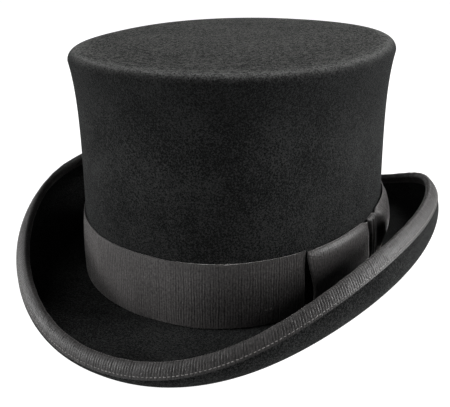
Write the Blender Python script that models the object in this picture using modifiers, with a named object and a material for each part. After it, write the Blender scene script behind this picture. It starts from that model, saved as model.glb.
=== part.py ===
"""A black top hat: blocked felt body with a rolled and bound brim, ribbon band, side bow, sweatband and lining.

Metres, +Z up. The hat's front faces -Y, and the wearer's left side, with the bow, faces +X.
The hat stands on the front and back dips of its brim. The origin lies there, under the middle of the crown.

Every ring of the hat follows one oval, the crown's outer outline where crown and brim meet. A place is given
by its plan angle (0 at the front, a quarter turn at the wearer's left), its offset outwards from that oval
and its height above the level where crown and brim meet.
"""

import math

import bpy

STATIONS = 48  # points round each ring
GAP = 0.0003  # left between neighbouring pieces
QUARTER = math.pi / 2
TURN = 2 * math.pi

# Head oval: half length, half width and the power of its superellipse.
HALF_LENGTH = 0.101
HALF_WIDTH = 0.0887
OVAL_POWER = 2.21

# Felt body.
FELT = 0.0027
CROWN_HEIGHT = 0.1357  # to the rim of the tip
CROWN_LEAN = 0.018  # the tip rises by this share of its length towards the back
SHOULDER_RADIUS = 0.0050
TIP_DOME = 0.0020
TIP_FLAT = 0.25  # share of the tip's width that is flat
WALL_KICK = 0.0017  # the wall spreads a little at its foot
WALL_FLARE = 0.0041  # and again towards the tip
WALL_WAIST = 0.0006  # and is drawn in between
FLARE_POWER = 7
CREASE_FILLET = 0.0015

# Brim, at the front and back, then at the sides, measured on its underside.
CREASE_HEIGHT = (-0.0034, -0.0008)  # where the underside would meet the oval
LIP_REACH = (0.0427, 0.0292)  # from the oval to the lip
LIP_HEIGHT = (0.0031, 0.0480)
LIP_ANGLE = (math.radians(157.8), math.radians(138.1))  # direction of the rolled edge, past upright
ROLL_RADIUS = (0.0068, 0.0203)
SWEEP_POWER = 3.1  # how sharply reach and height change from the front to the sides
ROLL_POWER = 2.4
BRIM_DROP = ROLL_RADIUS[0] * (1 - math.cos(LIP_ANGLE[0])) - LIP_HEIGHT[0]  # depth of the front and back dips

# Ribbons and thread.
RIBBON = 0.0006
BINDING_WIDTH = 0.0082  # shown on the underside
EDGE_ROOM = 0.0010  # the ribbon's fold past the felt's cut edge
THREAD_RADIUS = 0.00025
STITCH_INSET = 0.0014  # from the binding's lower edge
BAND_WIDTH = 0.037
BAND_LIFT = 0.0008  # above the brim

# Bow, on the wearer's left side. Lengths run round the crown from its knot.
BOW_AHEAD = 0.0070  # the knot lies this far in front of the side's middle
BOW_REACH = 0.0595
BOW_SLANT = 0.0050  # the loops' lower corners fall short by this
BOW_BACK = 0.0012  # offset of the ribbon layer next to the crown
BOW_FACE = 0.0028  # offset of the outer layer at the knot and at the folds
BOW_PUFF = 0.0044  # how much further the outer layer stands in mid loop
BOW_SWELL = 0.085  # share of a loop in which it swells out beside the knot
BOW_HUG = 0.9  # share of the puff that the loops' upper and lower edges lack
BOW_LOW, BOW_HIGH = 0.0008, 0.0362  # edges of the loops above the band's lower edge
BOW_PINCH = 0.0032  # the ribbon is drawn in by this at the knot
BOW_STOPS = (0.0062, 0.0085, 0.0110, 0.0145, 0.0190, 0.0260, 0.0350, 0.0450, 0.0530)  # where the loops are shaped
KNOT_WIDTH = 0.0125
KNOT_PUFF = 0.0012
BAND_END = 0.0600  # each end of the band, from the knot
TACK_LENGTH = 0.0016
BOW_TACK = (-0.0575, 0.0345)  # from the knot, and above the band's lower edge
BAND_TACK = (-0.0840, 0.0085)
TACK_ROOM = 0.0006  # between the bow's face and its tack's underside, past the usual gap

# Sweatband, its reed and welt, and the lining.
SWEATBAND = 0.0010
SWEATBAND_WIDTH = 0.038
SWEATBAND_RISE = 0.0018  # lower edge above the crease
REED_RADIUS = 0.0009
WELT = 0.0004
WELT_LEG = 0.009
SATIN = 0.00035
LINING_RISE = 0.014  # lower edge above the sweatband's lower edge
INNER_BOW = (0.024, 0.011, 0.0008)

COLOURS = {  # red, green, blue, roughness
    "felt": (0.016, 0.017, 0.018, 0.95),
    "grosgrain": (0.050, 0.046, 0.048, 0.62),
    "thread": (0.030, 0.028, 0.028, 0.70),
    "leather": (0.020, 0.015, 0.013, 0.45),
    "reed_plastic": (0.060, 0.055, 0.050, 0.40),
    "welt_cloth": (0.018, 0.018, 0.019, 0.80),
    "satin": (0.014, 0.014, 0.016, 0.30),
}


def signed_power(value, power):
    return math.copysign(abs(value) ** power, value)


def between(front_and_side, angle, power):
    """A brim size at a plan angle, from its values at the front and at the side."""
    front, side = front_and_side
    return side + (front - side) * abs(math.cos(angle)) ** power


def oval(angle, offset):
    """Plan point at an offset outwards from the head oval, square to it."""
    x = HALF_WIDTH * signed_power(math.sin(angle), 2 / OVAL_POWER)
    y = -HALF_LENGTH * signed_power(math.cos(angle), 2 / OVAL_POWER)
    across = signed_power(x / HALF_WIDTH, OVAL_POWER - 1) / HALF_WIDTH
    along = signed_power(y / HALF_LENGTH, OVAL_POWER - 1) / HALF_LENGTH
    length = math.hypot(across, along)
    return x + across / length * offset, y + along / length * offset


def lift(x, y, height):
    """Point over a plan point, its height measured up from where the hat stands and the crown's lean added."""
    lean = CROWN_LEAN * y * max(height, 0.0) / CROWN_HEIGHT
    return x, y, height + lean + BRIM_DROP


def place(angle, offset, height):
    return lift(*oval(angle, offset), height)


def ring_angles():
    return [TURN * i / STATIONS for i in range(STATIONS)]


def side_distances():
    """Plan angles and how far round the crown each lies behind the knot."""
    steps = 720
    angles = [TURN * i / steps - QUARTER for i in range(steps + 1)]
    distances = [0.0]
    for before, after in zip(angles, angles[1:]):
        distances.append(distances[-1] + math.dist(oval(before, BOW_BACK), oval(after, BOW_BACK)))
    knot = distances[steps // 2] - BOW_AHEAD
    return angles, [d - knot for d in distances]


def angle_at(distance):
    """Plan angle at a distance round the crown from the knot, towards the back."""
    angles, distances = SIDE_TABLE
    for i in range(1, len(angles)):
        if distances[i] >= distance:
            share = (distance - distances[i - 1]) / (distances[i] - distances[i - 1])
            return angles[i - 1] + share * (angles[i] - angles[i - 1])
    raise ValueError("distance is more than half way round the crown")


SIDE_TABLE = side_distances()


# ---- sections of the hat --------------------------------------------------------------------------------------


def wall_offset(height):
    """Outer face of the crown's wall."""
    rise = min(max(height / (CROWN_HEIGHT - SHOULDER_RADIUS), 0.0), 1.0)
    return WALL_KICK * (1 - rise) ** 3 + WALL_FLARE * rise**FLARE_POWER - WALL_WAIST


def roll(angle):
    """The brim's rolled edge at a plan angle: centre, radius, and the directions where it starts and ends."""
    radius = between(ROLL_RADIUS, angle, ROLL_POWER)
    end = between(LIP_ANGLE, angle, ROLL_POWER)
    offset = between(LIP_REACH, angle, SWEEP_POWER) - radius * math.sin(end)
    height = between(LIP_HEIGHT, angle, SWEEP_POWER) + radius * math.cos(end)
    rise = height - between(CREASE_HEIGHT, angle, 2)
    start = math.atan2(rise, offset) - math.asin(radius / math.hypot(rise, offset))
    return (offset, height), radius, start, end


def on_roll(angle, distance, direction):
    """Point at a distance from the roll's centre, where the brim runs in a direction."""
    (offset, height), _, _, _ = roll(angle)
    return offset + distance * math.sin(direction), height - distance * math.cos(direction)


def brim_top(angle, offset):
    """Height of the brim's upper face near the crown."""
    _, _, slope, _ = roll(angle)
    return between(CREASE_HEIGHT, angle, 2) + FELT / math.cos(slope) + offset * math.tan(slope)


def crease(angle):
    """Offset and height where the crown's outer wall meets the brim's upper face."""
    offset = wall_offset(0.0)
    return offset, brim_top(angle, offset)


def bound_directions(angle):
    """Directions along the roll that the binding covers, up to the felt's cut edge."""
    _, radius, _, end = roll(angle)
    first, last = end - BINDING_WIDTH / radius, end - EDGE_ROOM / radius
    return [first + (last - first) * i / 3 for i in range(4)]


def felt_section(angle):
    """The brim's upper face from its cut edge in to the crown, then the crown's outer face up to its tip."""
    _, radius, slope, _ = roll(angle)
    bound = bound_directions(angle)
    free = [slope + (bound[0] - slope) * i / 4 for i in range(4)]
    points = [on_roll(angle, radius - FELT, direction) for direction in reversed(free + bound)]
    offset, height = crease(angle)
    along = (offset + CREASE_FILLET * math.cos(slope), height + CREASE_FILLET * math.sin(slope))
    above = (wall_offset(height + CREASE_FILLET), height + CREASE_FILLET)
    middle = tuple((a + 2 * c + b) / 4 for a, c, b in zip(above, (offset, height), along))
    points += [along, middle, above]
    top = CROWN_HEIGHT - SHOULDER_RADIUS
    points += [(wall_offset(top * rise), top * rise) for rise in (0.15, 0.35, 0.6, 0.78, 0.87, 0.94)]
    for step in range(4):
        turn = QUARTER * step / 3
        inset = SHOULDER_RADIUS * (1 - math.cos(turn))
        points.append((wall_offset(top) - inset, top + SHOULDER_RADIUS * math.sin(turn)))
    return points


def binding_section(angle):
    """The ribbon's face next to the felt, from its lower edge round the felt's cut edge to inside the roll."""
    _, radius, _, _ = roll(angle)
    bound = bound_directions(angle)
    points = [on_roll(angle, radius + GAP, direction) for direction in bound]
    for turn in (0.25 * math.pi, 0.5 * math.pi, 0.75 * math.pi):
        distance = radius - FELT / 2 + (FELT / 2 + GAP) * math.cos(turn)
        past = GAP + (EDGE_ROOM - RIBBON - GAP + FELT / 4) * math.sin(turn)
        points.append(on_roll(angle, distance, bound[-1] + past / radius))
    points += [on_roll(angle, radius - FELT - GAP, direction) for direction in reversed(bound)]
    return points


def band_low(angle):
    """Height of the band's lower edge."""
    return brim_top(angle, wall_offset(0.0) + GAP + RIBBON) + BAND_LIFT


def inner_wall(height):
    return wall_offset(height) - FELT


def sweatband_low(angle):
    return crease(angle)[1] + SWEATBAND_RISE


# ---- mesh and object helpers ----------------------------------------------------------------------------------


def material(slot):
    found = bpy.data.materials.get(slot)
    if found:
        return found
    red, green, blue, roughness = COLOURS[slot]
    made = bpy.data.materials.new(slot)
    made.use_nodes = True
    shader = made.node_tree.nodes["Principled BSDF"]
    shader.inputs["Base Color"].default_value = (red, green, blue, 1)
    shader.inputs["Roughness"].default_value = roughness
    shader.inputs["Metallic"].default_value = 0
    made.diffuse_color = (red, green, blue, 1)
    return made


def finish(thing, slot):
    thing.data.materials.append(material(slot))
    bpy.data.collections["top_hat"].objects.link(thing)
    if thing.type == "MESH":
        thing.data.shade_smooth()
        thing.data.set_sharp_from_angle(angle=math.radians(40))
    return thing


def sheet(name, slot, rows, round_rows=True, round_stack=False, capped=False):
    """An open surface through rows of points. Its outer side faces out of the hat where the rows go up.

    round_rows closes each row, round_stack joins the last row to the first, and capped fills the last row.
    """
    count = len(rows[0])
    points = [point for row in rows for point in row]
    faces = []
    for r in range(len(rows) if round_stack else len(rows) - 1):
        lower, upper = r * count, (r + 1) % len(rows) * count
        for i in range(count if round_rows else count - 1):
            j = (i + 1) % count
            faces.append((lower + i, lower + j, upper + j, upper + i))
    if capped:
        faces.append(tuple(len(points) - count + i for i in range(count)))
    mesh = bpy.data.meshes.new(name)
    mesh.from_pydata(points, [], faces)
    return finish(bpy.data.objects.new(name, mesh), slot)


def thicken(thing, thickness, side):
    """Solidify a sheet. side is 1 to grow along the sheet's normals and -1 to grow against them."""
    shell = thing.modifiers.new("thickness", "SOLIDIFY")
    shell.thickness = thickness
    shell.offset = side
    shell.use_even_offset = True
    return thing


def rings(section):
    """Rows of points round the hat, one for each point of section(angle)."""
    sections = [[place(angle, *point) for point in section(angle)] for angle in ring_angles()]
    return [list(row) for row in zip(*sections)]


def cord_ring(name, slot, radius, points):
    """A closed loop of round cord through points."""
    curve = bpy.data.curves.new(name, "CURVE")
    curve.dimensions = "3D"
    curve.bevel_depth = radius
    curve.bevel_resolution = 1
    spline = curve.splines.new("POLY")
    spline.points.add(len(points) - 1)
    for spot, point in zip(spline.points, points):
        spot.co = (*point, 1)
    spline.use_cyclic_u = True
    return finish(bpy.data.objects.new(name, curve), slot)


# ---- felt body and its edge -----------------------------------------------------------------------------------


def tip_ring(scale, offset, height):
    """A ring of the domed tip, shrunk towards its middle. offset and height are those of the tip's rim."""
    rim = [oval(angle, offset) for angle in ring_angles()]
    return [lift(x * scale, y * scale, height + TIP_DOME * (1 - scale**2)) for x, y in rim]


def make_felt_body():
    rim = wall_offset(CROWN_HEIGHT) - SHOULDER_RADIUS
    rows = rings(felt_section)
    rows += [tip_ring(scale, rim, CROWN_HEIGHT) for scale in (0.8, 0.5, TIP_FLAT)]
    return thicken(sheet("felt_body", "felt", rows, capped=True), FELT, -1)


def make_brim_binding():
    return thicken(sheet("brim_binding", "grosgrain", rings(binding_section)), RIBBON, 1)


def make_binding_stitching():
    points = []
    for angle in ring_angles():
        _, radius, _, _ = roll(angle)
        direction = bound_directions(angle)[0] + STITCH_INSET / radius
        points.append(place(angle, *on_roll(angle, radius + RIBBON + 3 * GAP + THREAD_RADIUS, direction)))
    return cord_ring("binding_stitching", "thread", THREAD_RADIUS, points)


# ---- band and bow ---------------------------------------------------------------------------------------------


def make_hat_band():
    """One ribbon round the crown. Its two ends lie at either end of the bow."""
    first, last = angle_at(BAND_END), angle_at(-BAND_END) + TURN
    angles = [first] + [a + turn for turn in (0, TURN) for a in ring_angles() if first < a + turn < last] + [last]
    rows = []
    for share in (0.0, 0.5, 1.0):
        heights = [band_low(angle) + share * BAND_WIDTH for angle in angles]
        rows.append([place(a, wall_offset(h) + GAP, h) for a, h in zip(angles, heights)])
    return thicken(sheet("hat_band", "grosgrain", rows, round_rows=False), RIBBON, 1)


def bow_point(distance, share, layer):
    """Point of the bow's ribbon. share runs from its lower to its upper edge, layer from its back to its face."""
    along = min(abs(distance) / BOW_REACH, 1.0)
    knot = KNOT_WIDTH / 2 / BOW_REACH
    loop = max((along - knot) / (1 - knot), 0.0)
    draw_in = BOW_PINCH * math.exp(-((loop / 0.09) ** 2))
    low, high = BOW_LOW + draw_in, BOW_HIGH - draw_in
    shift = low + (high - low) * share
    slanted = distance * (1 - BOW_SLANT / BOW_REACH * (1 - share) * loop)
    swell = 1 - math.exp(-((loop / BOW_SWELL) ** 1.6))
    puff = BOW_PUFF * swell * (1 - loop**2.2) * (1 - BOW_HUG * (2 * share - 1) ** 2)
    angle = angle_at(slanted)
    height = band_low(angle) + shift
    offset = BOW_BACK + layer * (BOW_FACE + puff - BOW_BACK)
    return place(angle, wall_offset(height) + offset, height)


def make_bow_loops():
    """One ribbon folded into a flat ring: its two ends fold back at the front and at the rear of the bow."""
    fold = (BOW_FACE - BOW_BACK) / 2
    straight = BOW_REACH - fold
    outer = [-straight] + [-d for d in reversed(BOW_STOPS)] + [0.0] + list(BOW_STOPS) + [straight]
    path = [(d, 1.0) for d in outer]
    path += [(straight + fold * 0.85, 0.75), (straight + fold * 0.85, 0.25)]
    path += [(d, 0.0) for d in reversed(outer)]
    path += [(-straight - fold * 0.85, 0.25), (-straight - fold * 0.85, 0.75)]
    rows = [[bow_point(d, share, layer) for d, layer in path] for share in (0.0, 0.2, 0.5, 0.8, 1.0)]
    return thicken(sheet("bow_loops", "grosgrain", rows), RIBBON, -1)


def make_bow_knot():
    """A short ribbon wrapped round the middle of the bow, top to bottom."""
    low = BOW_LOW + BOW_PINCH - GAP - RIBBON
    high = BOW_HIGH - BOW_PINCH + GAP + RIBBON
    face = BOW_FACE + GAP + RIBBON
    round_off = 0.0008
    path = [(low, GAP), (low, face - round_off), (low + round_off, face)]
    path += [(low + (high - low) * share, face + KNOT_PUFF * math.sin(math.pi * share)) for share in (0.25, 0.5, 0.75)]
    path += [(high - round_off, face), (high, face - round_off), (high, GAP)]
    rows = []
    for step in range(5):
        angle = angle_at(KNOT_WIDTH * (0.5 - step / 4))
        heights = [(band_low(angle) + shift, offset) for shift, offset in path]
        rows.append([place(angle, wall_offset(h) + offset, h) for h, offset in heights])
    return thicken(sheet("bow_knot", "grosgrain", rows), RIBBON, -1)


def make_tack(name, spot, offset):
    """A short bar of thread that holds a ribbon down, lying along the band."""
    distance, shift = spot
    angle = angle_at(distance)
    height = band_low(angle) + shift
    bpy.ops.mesh.primitive_cylinder_add(vertices=8, radius=THREAD_RADIUS, depth=TACK_LENGTH)
    tack = bpy.context.object
    tack.name = name
    bpy.context.collection.objects.unlink(tack)
    tack.location = place(angle, wall_offset(height) + offset + THREAD_RADIUS, height)
    before, after = oval(angle - 0.01, 0), oval(angle + 0.01, 0)
    tack.rotation_euler = (0, QUARTER, math.atan2(after[1] - before[1], after[0] - before[0]))
    return finish(tack, "thread")


# ---- inside ---------------------------------------------------------------------------------------------------


def wall_strip(low, width, depth, count):
    """Section maker: a strip of the inner wall, its outer face depth inside the felt."""

    def section(angle):
        start = low(angle)
        heights = [start + width * i / (count - 1) for i in range(count)]
        return [(inner_wall(h) - depth, h) for h in heights]

    return section


def make_sweatband():
    depth = 2 * GAP + WELT
    section = wall_strip(sweatband_low, SWEATBAND_WIDTH, depth, 3)
    return thicken(sheet("sweatband", "leather", rings(section)), SWEATBAND, -1)


def reed_centre(angle):
    height = sweatband_low(angle) - GAP - REED_RADIUS
    return inner_wall(height) - 2 * GAP - WELT - REED_RADIUS, height


def make_sweatband_reed():
    points = [place(angle, *reed_centre(angle)) for angle in ring_angles()]
    return cord_ring("sweatband_reed", "reed_plastic", REED_RADIUS, points)


def make_reed_welt():
    """Cloth strip folded under the reed, with its long leg between the felt and the sweatband."""

    def section(angle):
        offset, height = reed_centre(angle)
        radius = REED_RADIUS + GAP + WELT
        turns = [-0.25 * math.pi * i for i in range(5)]
        hook = [(offset + radius * math.cos(t), height + radius * math.sin(t)) for t in turns]
        top = sweatband_low(angle) + WELT_LEG
        return [(inner_wall(top) - GAP, top)] + hook

    return thicken(sheet("reed_welt", "welt_cloth", rings(section)), WELT, 1)


def make_sweatband_bow():
    """The small ribbon bow over the sweatband's seam, at the back of the hat."""
    width, height, thickness = INNER_BOW
    curve = bpy.data.curves.new("sweatband_bow", "CURVE")
    curve.dimensions = "2D"
    curve.fill_mode = "BOTH"
    curve.extrude = thickness / 2
    half = [(0.0, 0.14), (0.16, 0.18), (0.42, 0.5), (0.5, 0.42), (0.5, -0.42), (0.42, -0.5), (0.16, -0.18)]
    outline = [(u, v) for u, v in half] + [(0.0, -0.14)] + [(-u, v) for u, v in reversed(half[1:])]
    spline = curve.splines.new("POLY")
    spline.points.add(len(outline) - 1)
    for spot, (u, v) in zip(spline.points, outline):
        spot.co = (u * width, v * height, 0, 1)
    spline.use_cyclic_u = True
    bow = bpy.data.objects.new("sweatband_bow", curve)
    level = sweatband_low(math.pi) + SWEATBAND_WIDTH / 2
    room = 0.0012 + thickness / 2  # a flat bow in front of the curved band
    depth = 2 * GAP + WELT + SWEATBAND + room
    bow.location = place(math.pi, inner_wall(level) - depth, level)
    bow.rotation_euler = (QUARTER, 0, 0)
    return finish(bow, "grosgrain")


def make_lining_side():
    def section(angle):
        low = sweatband_low(angle) + LINING_RISE
        top = CROWN_HEIGHT - SHOULDER_RADIUS
        heights = [low + (top - low) * share for share in (0.0, 0.4, 0.65, 0.8, 0.9, 1.0)]
        points = [(inner_wall(h) - GAP, h) for h in heights]
        return points + [(inner_wall(top) - 2 * GAP, top + 4 * GAP)]

    return thicken(sheet("lining_side", "satin", rings(section)), SATIN, -1)


def make_lining_tip():
    rim = wall_offset(CROWN_HEIGHT) - SHOULDER_RADIUS
    level = CROWN_HEIGHT - FELT - GAP
    rows = [tip_ring(scale, rim, level) for scale in (1.0, 0.8, 0.5, TIP_FLAT)]
    return thicken(sheet("lining_tip", "satin", rows, capped=True), SATIN, -1)


def main():
    for thing in list(bpy.data.objects):
        bpy.data.objects.remove(thing)
    collection = bpy.data.collections.new("top_hat")
    bpy.context.scene.collection.children.link(collection)
    make_felt_body()
    make_brim_binding()
    make_binding_stitching()
    make_hat_band()
    make_bow_loops()
    make_bow_knot()
    make_tack("bow_tack", BOW_TACK, BOW_FACE + GAP + TACK_ROOM)
    make_tack("band_tack", BAND_TACK, 2 * GAP + RIBBON)
    make_sweatband()
    make_sweatband_reed()
    make_reed_welt()
    make_sweatband_bow()
    make_lining_side()
    make_lining_tip()


main()
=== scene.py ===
"""The looks of the black top hat: felt, ribbons, thread, leather and satin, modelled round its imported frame.

Metres, +Z up. The hat's front faces -Y and its bow is on +X. As in the frame's own shapes, a place on the hat
is a plan angle (0 at the front, a quarter turn at the bow), an offset outwards from the crown's oval and a
height above the level where crown and brim meet.
"""

import math

import bpy
import numpy as np
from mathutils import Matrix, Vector


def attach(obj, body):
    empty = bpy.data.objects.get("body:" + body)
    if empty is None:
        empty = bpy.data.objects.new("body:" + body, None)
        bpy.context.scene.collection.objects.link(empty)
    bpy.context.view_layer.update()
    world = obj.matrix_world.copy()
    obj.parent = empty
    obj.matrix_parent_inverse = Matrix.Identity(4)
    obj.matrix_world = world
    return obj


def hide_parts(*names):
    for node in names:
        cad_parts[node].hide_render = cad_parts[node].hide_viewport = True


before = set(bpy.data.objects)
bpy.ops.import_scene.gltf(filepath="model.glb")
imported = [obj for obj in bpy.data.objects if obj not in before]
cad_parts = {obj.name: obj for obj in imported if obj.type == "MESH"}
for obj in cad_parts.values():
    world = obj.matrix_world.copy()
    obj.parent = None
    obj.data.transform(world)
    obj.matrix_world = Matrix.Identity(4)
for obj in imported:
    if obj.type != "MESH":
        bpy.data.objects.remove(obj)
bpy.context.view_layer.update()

TURN = 2 * math.pi
QUARTER = math.pi / 2
RING = 288  # points round the felt and most of the pieces inside it
GAP = 0.0003  # between neighbouring pieces
TINY = 0.00002  # a short step, to find a direction
TRACK_STEPS = 1440  # angles in one turn of a Track

# The sizes that the frame was built with.
HALF_LENGTH = 0.101
HALF_WIDTH = 0.0887
OVAL_POWER = 2.21
FELT = 0.0027
CROWN_HEIGHT = 0.1357
CROWN_LEAN = 0.018
SHOULDER_RADIUS = 0.0050
TIP_DOME = 0.0020
TIP_FLAT = 0.25
WALL_KICK = 0.0017
WALL_FLARE = 0.0041
WALL_WAIST = 0.0006
FLARE_POWER = 7
CREASE_FILLET = 0.0015
CREASE_HEIGHT = (-0.0034, -0.0008)
LIP_REACH = (0.0427, 0.0292)
LIP_HEIGHT = (0.0031, 0.0480)
LIP_ANGLE = (math.radians(157.8), math.radians(138.1))
ROLL_RADIUS = (0.0068, 0.0203)
SWEEP_POWER = 3.1
ROLL_POWER = 2.4
BRIM_DROP = ROLL_RADIUS[0] * (1 - math.cos(LIP_ANGLE[0])) - LIP_HEIGHT[0]
RIBBON = 0.0006
BINDING_WIDTH = 0.0082
EDGE_ROOM = 0.0010
STITCH_INSET = 0.0014
BAND_WIDTH = 0.037
BAND_LIFT = 0.0008
BOW_AHEAD = 0.0070
BOW_SLANT = 0.0050
BOW_BACK = 0.0012
BOW_FACE = 0.0028
BOW_LOW, BOW_HIGH = 0.0008, 0.0362
BOW_PINCH = 0.0032
SWEATBAND = 0.0010
SWEATBAND_WIDTH = 0.038
SWEATBAND_RISE = 0.0018
REED_RADIUS = 0.0009
WELT = 0.0004
WELT_LEG = 0.009
SATIN = 0.00035
LINING_RISE = 0.014

# The bow's ends and the band's lie 1.6 mm further from the knot than in the frame.
BAND_END = 0.0616
BOW_REACH = 0.0611

# What only the looks have.
RIB = 0.00142  # pitch of the ribbon's cross ribs
RIB_DEPTH = 0.00022
BINDING_RIBS, BAND_RIBS, BOW_RIBS = 0.75, 0.65, 0.38  # shares of that depth on each ribbon
THREAD = 0.00024  # radius
STITCH_PITCH = 0.00215
STITCH_HALF = 0.00072  # half a stitch's length
STITCH_PULL = 0.0007  # how far from the stitches the binding is drawn in
SLACK = 0.0014  # the band stands off the felt by this on the wearer's right
SLACK_AT = math.radians(297)
SLACK_WIDTH = math.radians(28)
BOW_PUFF = 0.0050
FRONT_SWELL, REAR_SWELL = 0.0042, 0.0036  # distances from the knot in which the loops swell out
REAR_LAG = 0.0090  # the rear loop's lower edge swells out this much later
VALLEY_DEPTH, VALLEY_REACH = 0.0010, 0.0025  # the hollow beside the knot
PLEAT_HEIGHT, PLEAT_REACH = 0.00040, 0.006
KNOT_AT = 0.0020  # the knot has slipped back by this
KNOT_HALF = 0.0053
KNOT_FACE = 0.0030  # how far the knot stands off the crown
KNOT_CORNER = 0.0012
KNOT_CROWN = 0.0008
KNOT_PLEAT = 0.00042
SEAM = 0.0022  # half the sweatband's gap at the back, in radians
SWEATBAND_STITCHES = 230
STITCH_LEVEL = 0.085  # share of the sweatband's width below its stitches
LINING_COLUMNS = 720
TIP_SAG = 0.0012


# ---- the hat's sections, for whole arrays of plan angles -----------------------------------------


def signed_power(value, power):
    return np.sign(value) * np.abs(value) ** power


def between(front_and_side, angle, power):
    front, side = front_and_side
    return side + (front - side) * np.abs(np.cos(angle)) ** power


def unit(vectors):
    return vectors / np.linalg.norm(vectors, axis=-1, keepdims=True)


def smooth(value, low, high):
    share = np.clip((value - low) / (high - low), 0, 1)
    return share * share * (3 - 2 * share)


def oval(angle, offset):
    x = HALF_WIDTH * signed_power(np.sin(angle), 2 / OVAL_POWER)
    y = -HALF_LENGTH * signed_power(np.cos(angle), 2 / OVAL_POWER)
    across = signed_power(x / HALF_WIDTH, OVAL_POWER - 1) / HALF_WIDTH
    along = signed_power(y / HALF_LENGTH, OVAL_POWER - 1) / HALF_LENGTH
    length = np.hypot(across, along)
    return x + across / length * offset, y + along / length * offset


def lift(x, y, height):
    lean = CROWN_LEAN * y * np.maximum(height, 0.0) / CROWN_HEIGHT
    return np.stack(np.broadcast_arrays(x, y, height + lean + BRIM_DROP), axis=-1)


def place(angle, offset, height):
    """Points on the hat, with the slight unevenness of hand-shaped felt that every piece follows."""
    swell = np.sin(3 * angle + 1.3) * np.sin(34 * height + 0.6) + 0.6 * np.sin(7 * angle + 0.4 + 21 * height)
    ripple = (np.sin(4 * angle + 2.1) + 0.5 * np.sin(9 * angle + 0.7)) * smooth(offset, 0.006, 0.030)
    return lift(*oval(angle, offset + 0.00022 * swell), height + 0.00030 * ripple)


def wall_offset(height):
    rise = np.clip(height / (CROWN_HEIGHT - SHOULDER_RADIUS), 0.0, 1.0)
    return WALL_KICK * (1 - rise) ** 3 + WALL_FLARE * rise**FLARE_POWER - WALL_WAIST


def roll(angle):
    """The brim's rolled edge: centre, radius, and the directions where it starts and ends."""
    radius = between(ROLL_RADIUS, angle, ROLL_POWER)
    end = between(LIP_ANGLE, angle, ROLL_POWER)
    offset = between(LIP_REACH, angle, SWEEP_POWER) - radius * np.sin(end)
    height = between(LIP_HEIGHT, angle, SWEEP_POWER) + radius * np.cos(end)
    rise = height - between(CREASE_HEIGHT, angle, 2)
    start = np.arctan2(rise, offset) - np.arcsin(radius / np.hypot(rise, offset))
    return (offset, height), radius, start, end


def on_roll(angle, distance, direction):
    (offset, height), _, _, _ = roll(angle)
    return offset + distance * np.sin(direction), height - distance * np.cos(direction)


def brim_top(angle, offset):
    _, _, slope, _ = roll(angle)
    return between(CREASE_HEIGHT, angle, 2) + FELT / np.cos(slope) + offset * np.tan(slope)


def crease(angle):
    offset = wall_offset(0.0)
    return offset, brim_top(angle, offset)


def band_low(angle):
    return brim_top(angle, wall_offset(0.0) + GAP + RIBBON) + BAND_LIFT


def inner_wall(height):
    return wall_offset(height) - FELT


def sweatband_low(angle):
    return crease(angle)[1] + SWEATBAND_RISE


class Track:
    """Plan angles along a closed line round the hat, by distance from a starting angle."""

    def __init__(self, line, start):
        self.angles = start + TURN * np.arange(-TRACK_STEPS, 2 * TRACK_STEPS + 1) / TRACK_STEPS
        points = line(self.angles)
        steps = np.linalg.norm(np.diff(points, axis=0), axis=1)
        self.distances = np.concatenate([[0], np.cumsum(steps)])
        self.distances -= self.distances[TRACK_STEPS]
        self.length = self.distances[2 * TRACK_STEPS]

    def angle(self, distance):
        return np.interp(distance, self.distances, self.angles)


def crown_line(angle):
    x, y = oval(angle, BOW_BACK)
    return np.stack([x, y, 0 * x], axis=-1)


def edge_line(angle):
    _, radius, _, end = roll(angle)
    return place(angle, *on_roll(angle, radius, end - 0.5 * BINDING_WIDTH / radius))


CROWN = Track(crown_line, QUARTER)  # distances from the bow's knot
CROWN.distances += BOW_AHEAD
EDGE = Track(edge_line, math.pi)  # distances from the back


# ---- mesh helpers --------------------------------------------------------------------------------


def put_in_scene(name, data):
    thing = bpy.data.objects.new(name, data)
    bpy.context.scene.collection.objects.link(thing)
    return thing


def piece(name, points, faces, material, slot, nodes, corners=None, **values):
    """A mesh that rides on the hat. corners are UVs in metres, and values are numbers for each point."""
    mesh = bpy.data.meshes.new(name)
    mesh.from_pydata([tuple(p) for p in points], [], faces)
    if corners is not None:
        layer = mesh.uv_layers.new(name="cloth")
        layer.data.foreach_set("uv", np.asarray(corners, dtype=np.float32).ravel())
    for label, value in values.items():
        attribute = mesh.attributes.new(label, "FLOAT", "POINT")
        attribute.data.foreach_set("value", np.asarray(value, dtype=np.float32))
    mesh.validate()
    thing = put_in_scene(name, mesh)
    mesh.materials.append(material)
    mesh.shade_smooth()
    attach(thing, "root")
    if nodes:
        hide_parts(*nodes)
    return thing


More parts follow.
